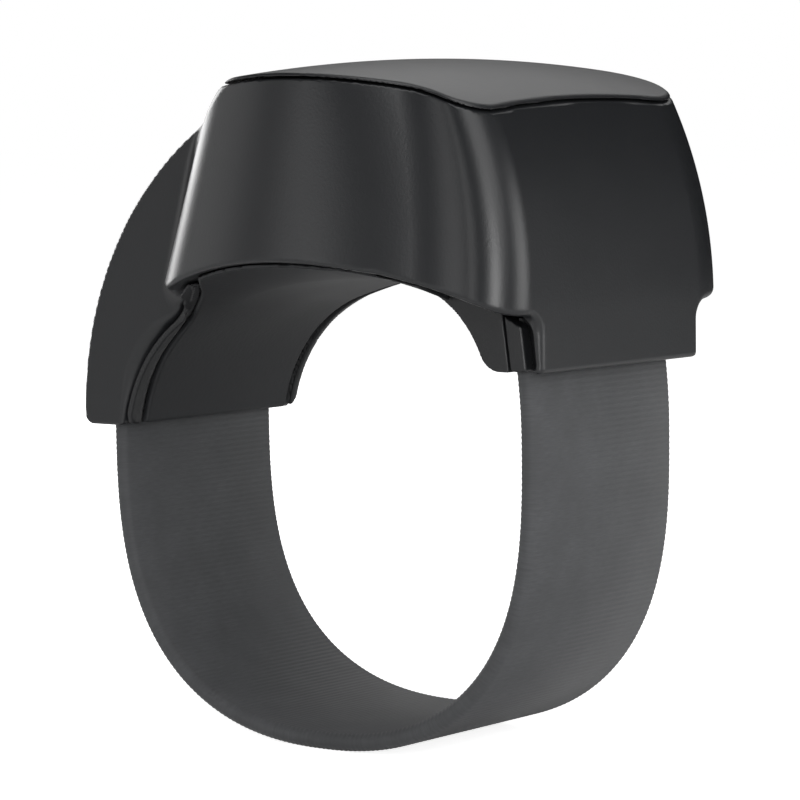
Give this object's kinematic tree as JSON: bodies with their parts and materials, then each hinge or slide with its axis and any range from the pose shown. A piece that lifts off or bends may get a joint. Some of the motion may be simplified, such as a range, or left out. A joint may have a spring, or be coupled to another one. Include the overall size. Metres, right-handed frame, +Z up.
{
  "type": "finger ring motion controller",
  "caption": "Finger-worn VR motion controller: black moulded pod with a click touch cap over the finger and a woven elastic strap loop under it.",
  "frame": {"origin": "on the finger's axis, at mid strap width and at the level where the strap's loop is widest", "axes": "+X across the finger towards the flat right face, +Y along the finger away from the pod's nose, +Z up through the click cap"},
  "size_m": [0.026, 0.021, 0.0305],
  "materials": {
    "shell_abs": "satin moulded ABS",
    "cover_abs": "matte moulded ABS",
    "pad_silicone": "soft-touch silicone",
    "strap_woven": "woven elastic with fine cross ribs",
    "steel": "plated steel",
    "brass": "sintered tungsten alloy weight on a brass hub",
    "gold_plated": "gold plating",
    "board_green": "solder mask",
    "chip_black": "moulded resin",
    "ceramic": "unglazed ceramic",
    "white_plastic": "moulded nylon",
    "film_amber": "polyimide film",
    "buffer_rubber": "soft foam or silicone",
    "battery_foil": "foil pouch"
  },
  "bodies": {
    "housing": {"outer_shell": "shell_abs", "inner_cover": "cover_abs", "finger_pad": "pad_silicone", "strap_cover": "cover_abs", "elastic_strap": "strap_woven", "strap_pin": "steel", "case_screws": "steel", "main_board": "board_green", "board_screws": "steel", "radio_chip": "chip_black", "motion_sensor": "chip_black", "charger_chip": "chip_black", "crystal": "steel", "antenna": "ceramic", "click_switch": "chip_black", "flex_connector": "white_plastic", "touch_flex": "film_amber", "return_buffers": "buffer_rubber", "battery": "battery_foil", "battery_foam": "buffer_rubber", "battery_tabs": "steel", "motor_case": "steel", "motor_cover": "steel", "charge_contacts": "gold_plated", "charge_magnets": "steel"},
    "click_pad": {"click_cap": "shell_abs", "touch_sensor": "film_amber", "cap_clips": "steel"},
    "plunger": {"switch_plunger": "white_plastic"},
    "rotor": {"motor_rotor": "brass"}
  },
  "joints": [
    {"name": "cap_click", "type": "slide", "parent": "housing", "child": "click_pad", "axis": [0, 0, -1], "range_m": [0, 0.0001], "stiffness_N_per_m": 1500, "springref_m": -0.0005, "deforming": ["return_buffers", "touch_flex"]},
    {"name": "plunger_press", "type": "slide", "parent": "housing", "child": "plunger", "axis": [0, 0, -1], "range_m": [0, 0.0001]},
    {"name": "motor_spin", "type": "hinge", "parent": "housing", "child": "rotor", "pos_m": [0.0081, -0.0006, 0.0085], "axis": [0, 0, 1], "continuous": true}
  ],
  "couplings": [
    {"joint": "plunger_press", "follows": "cap_click", "ratio": 1}
  ]
}
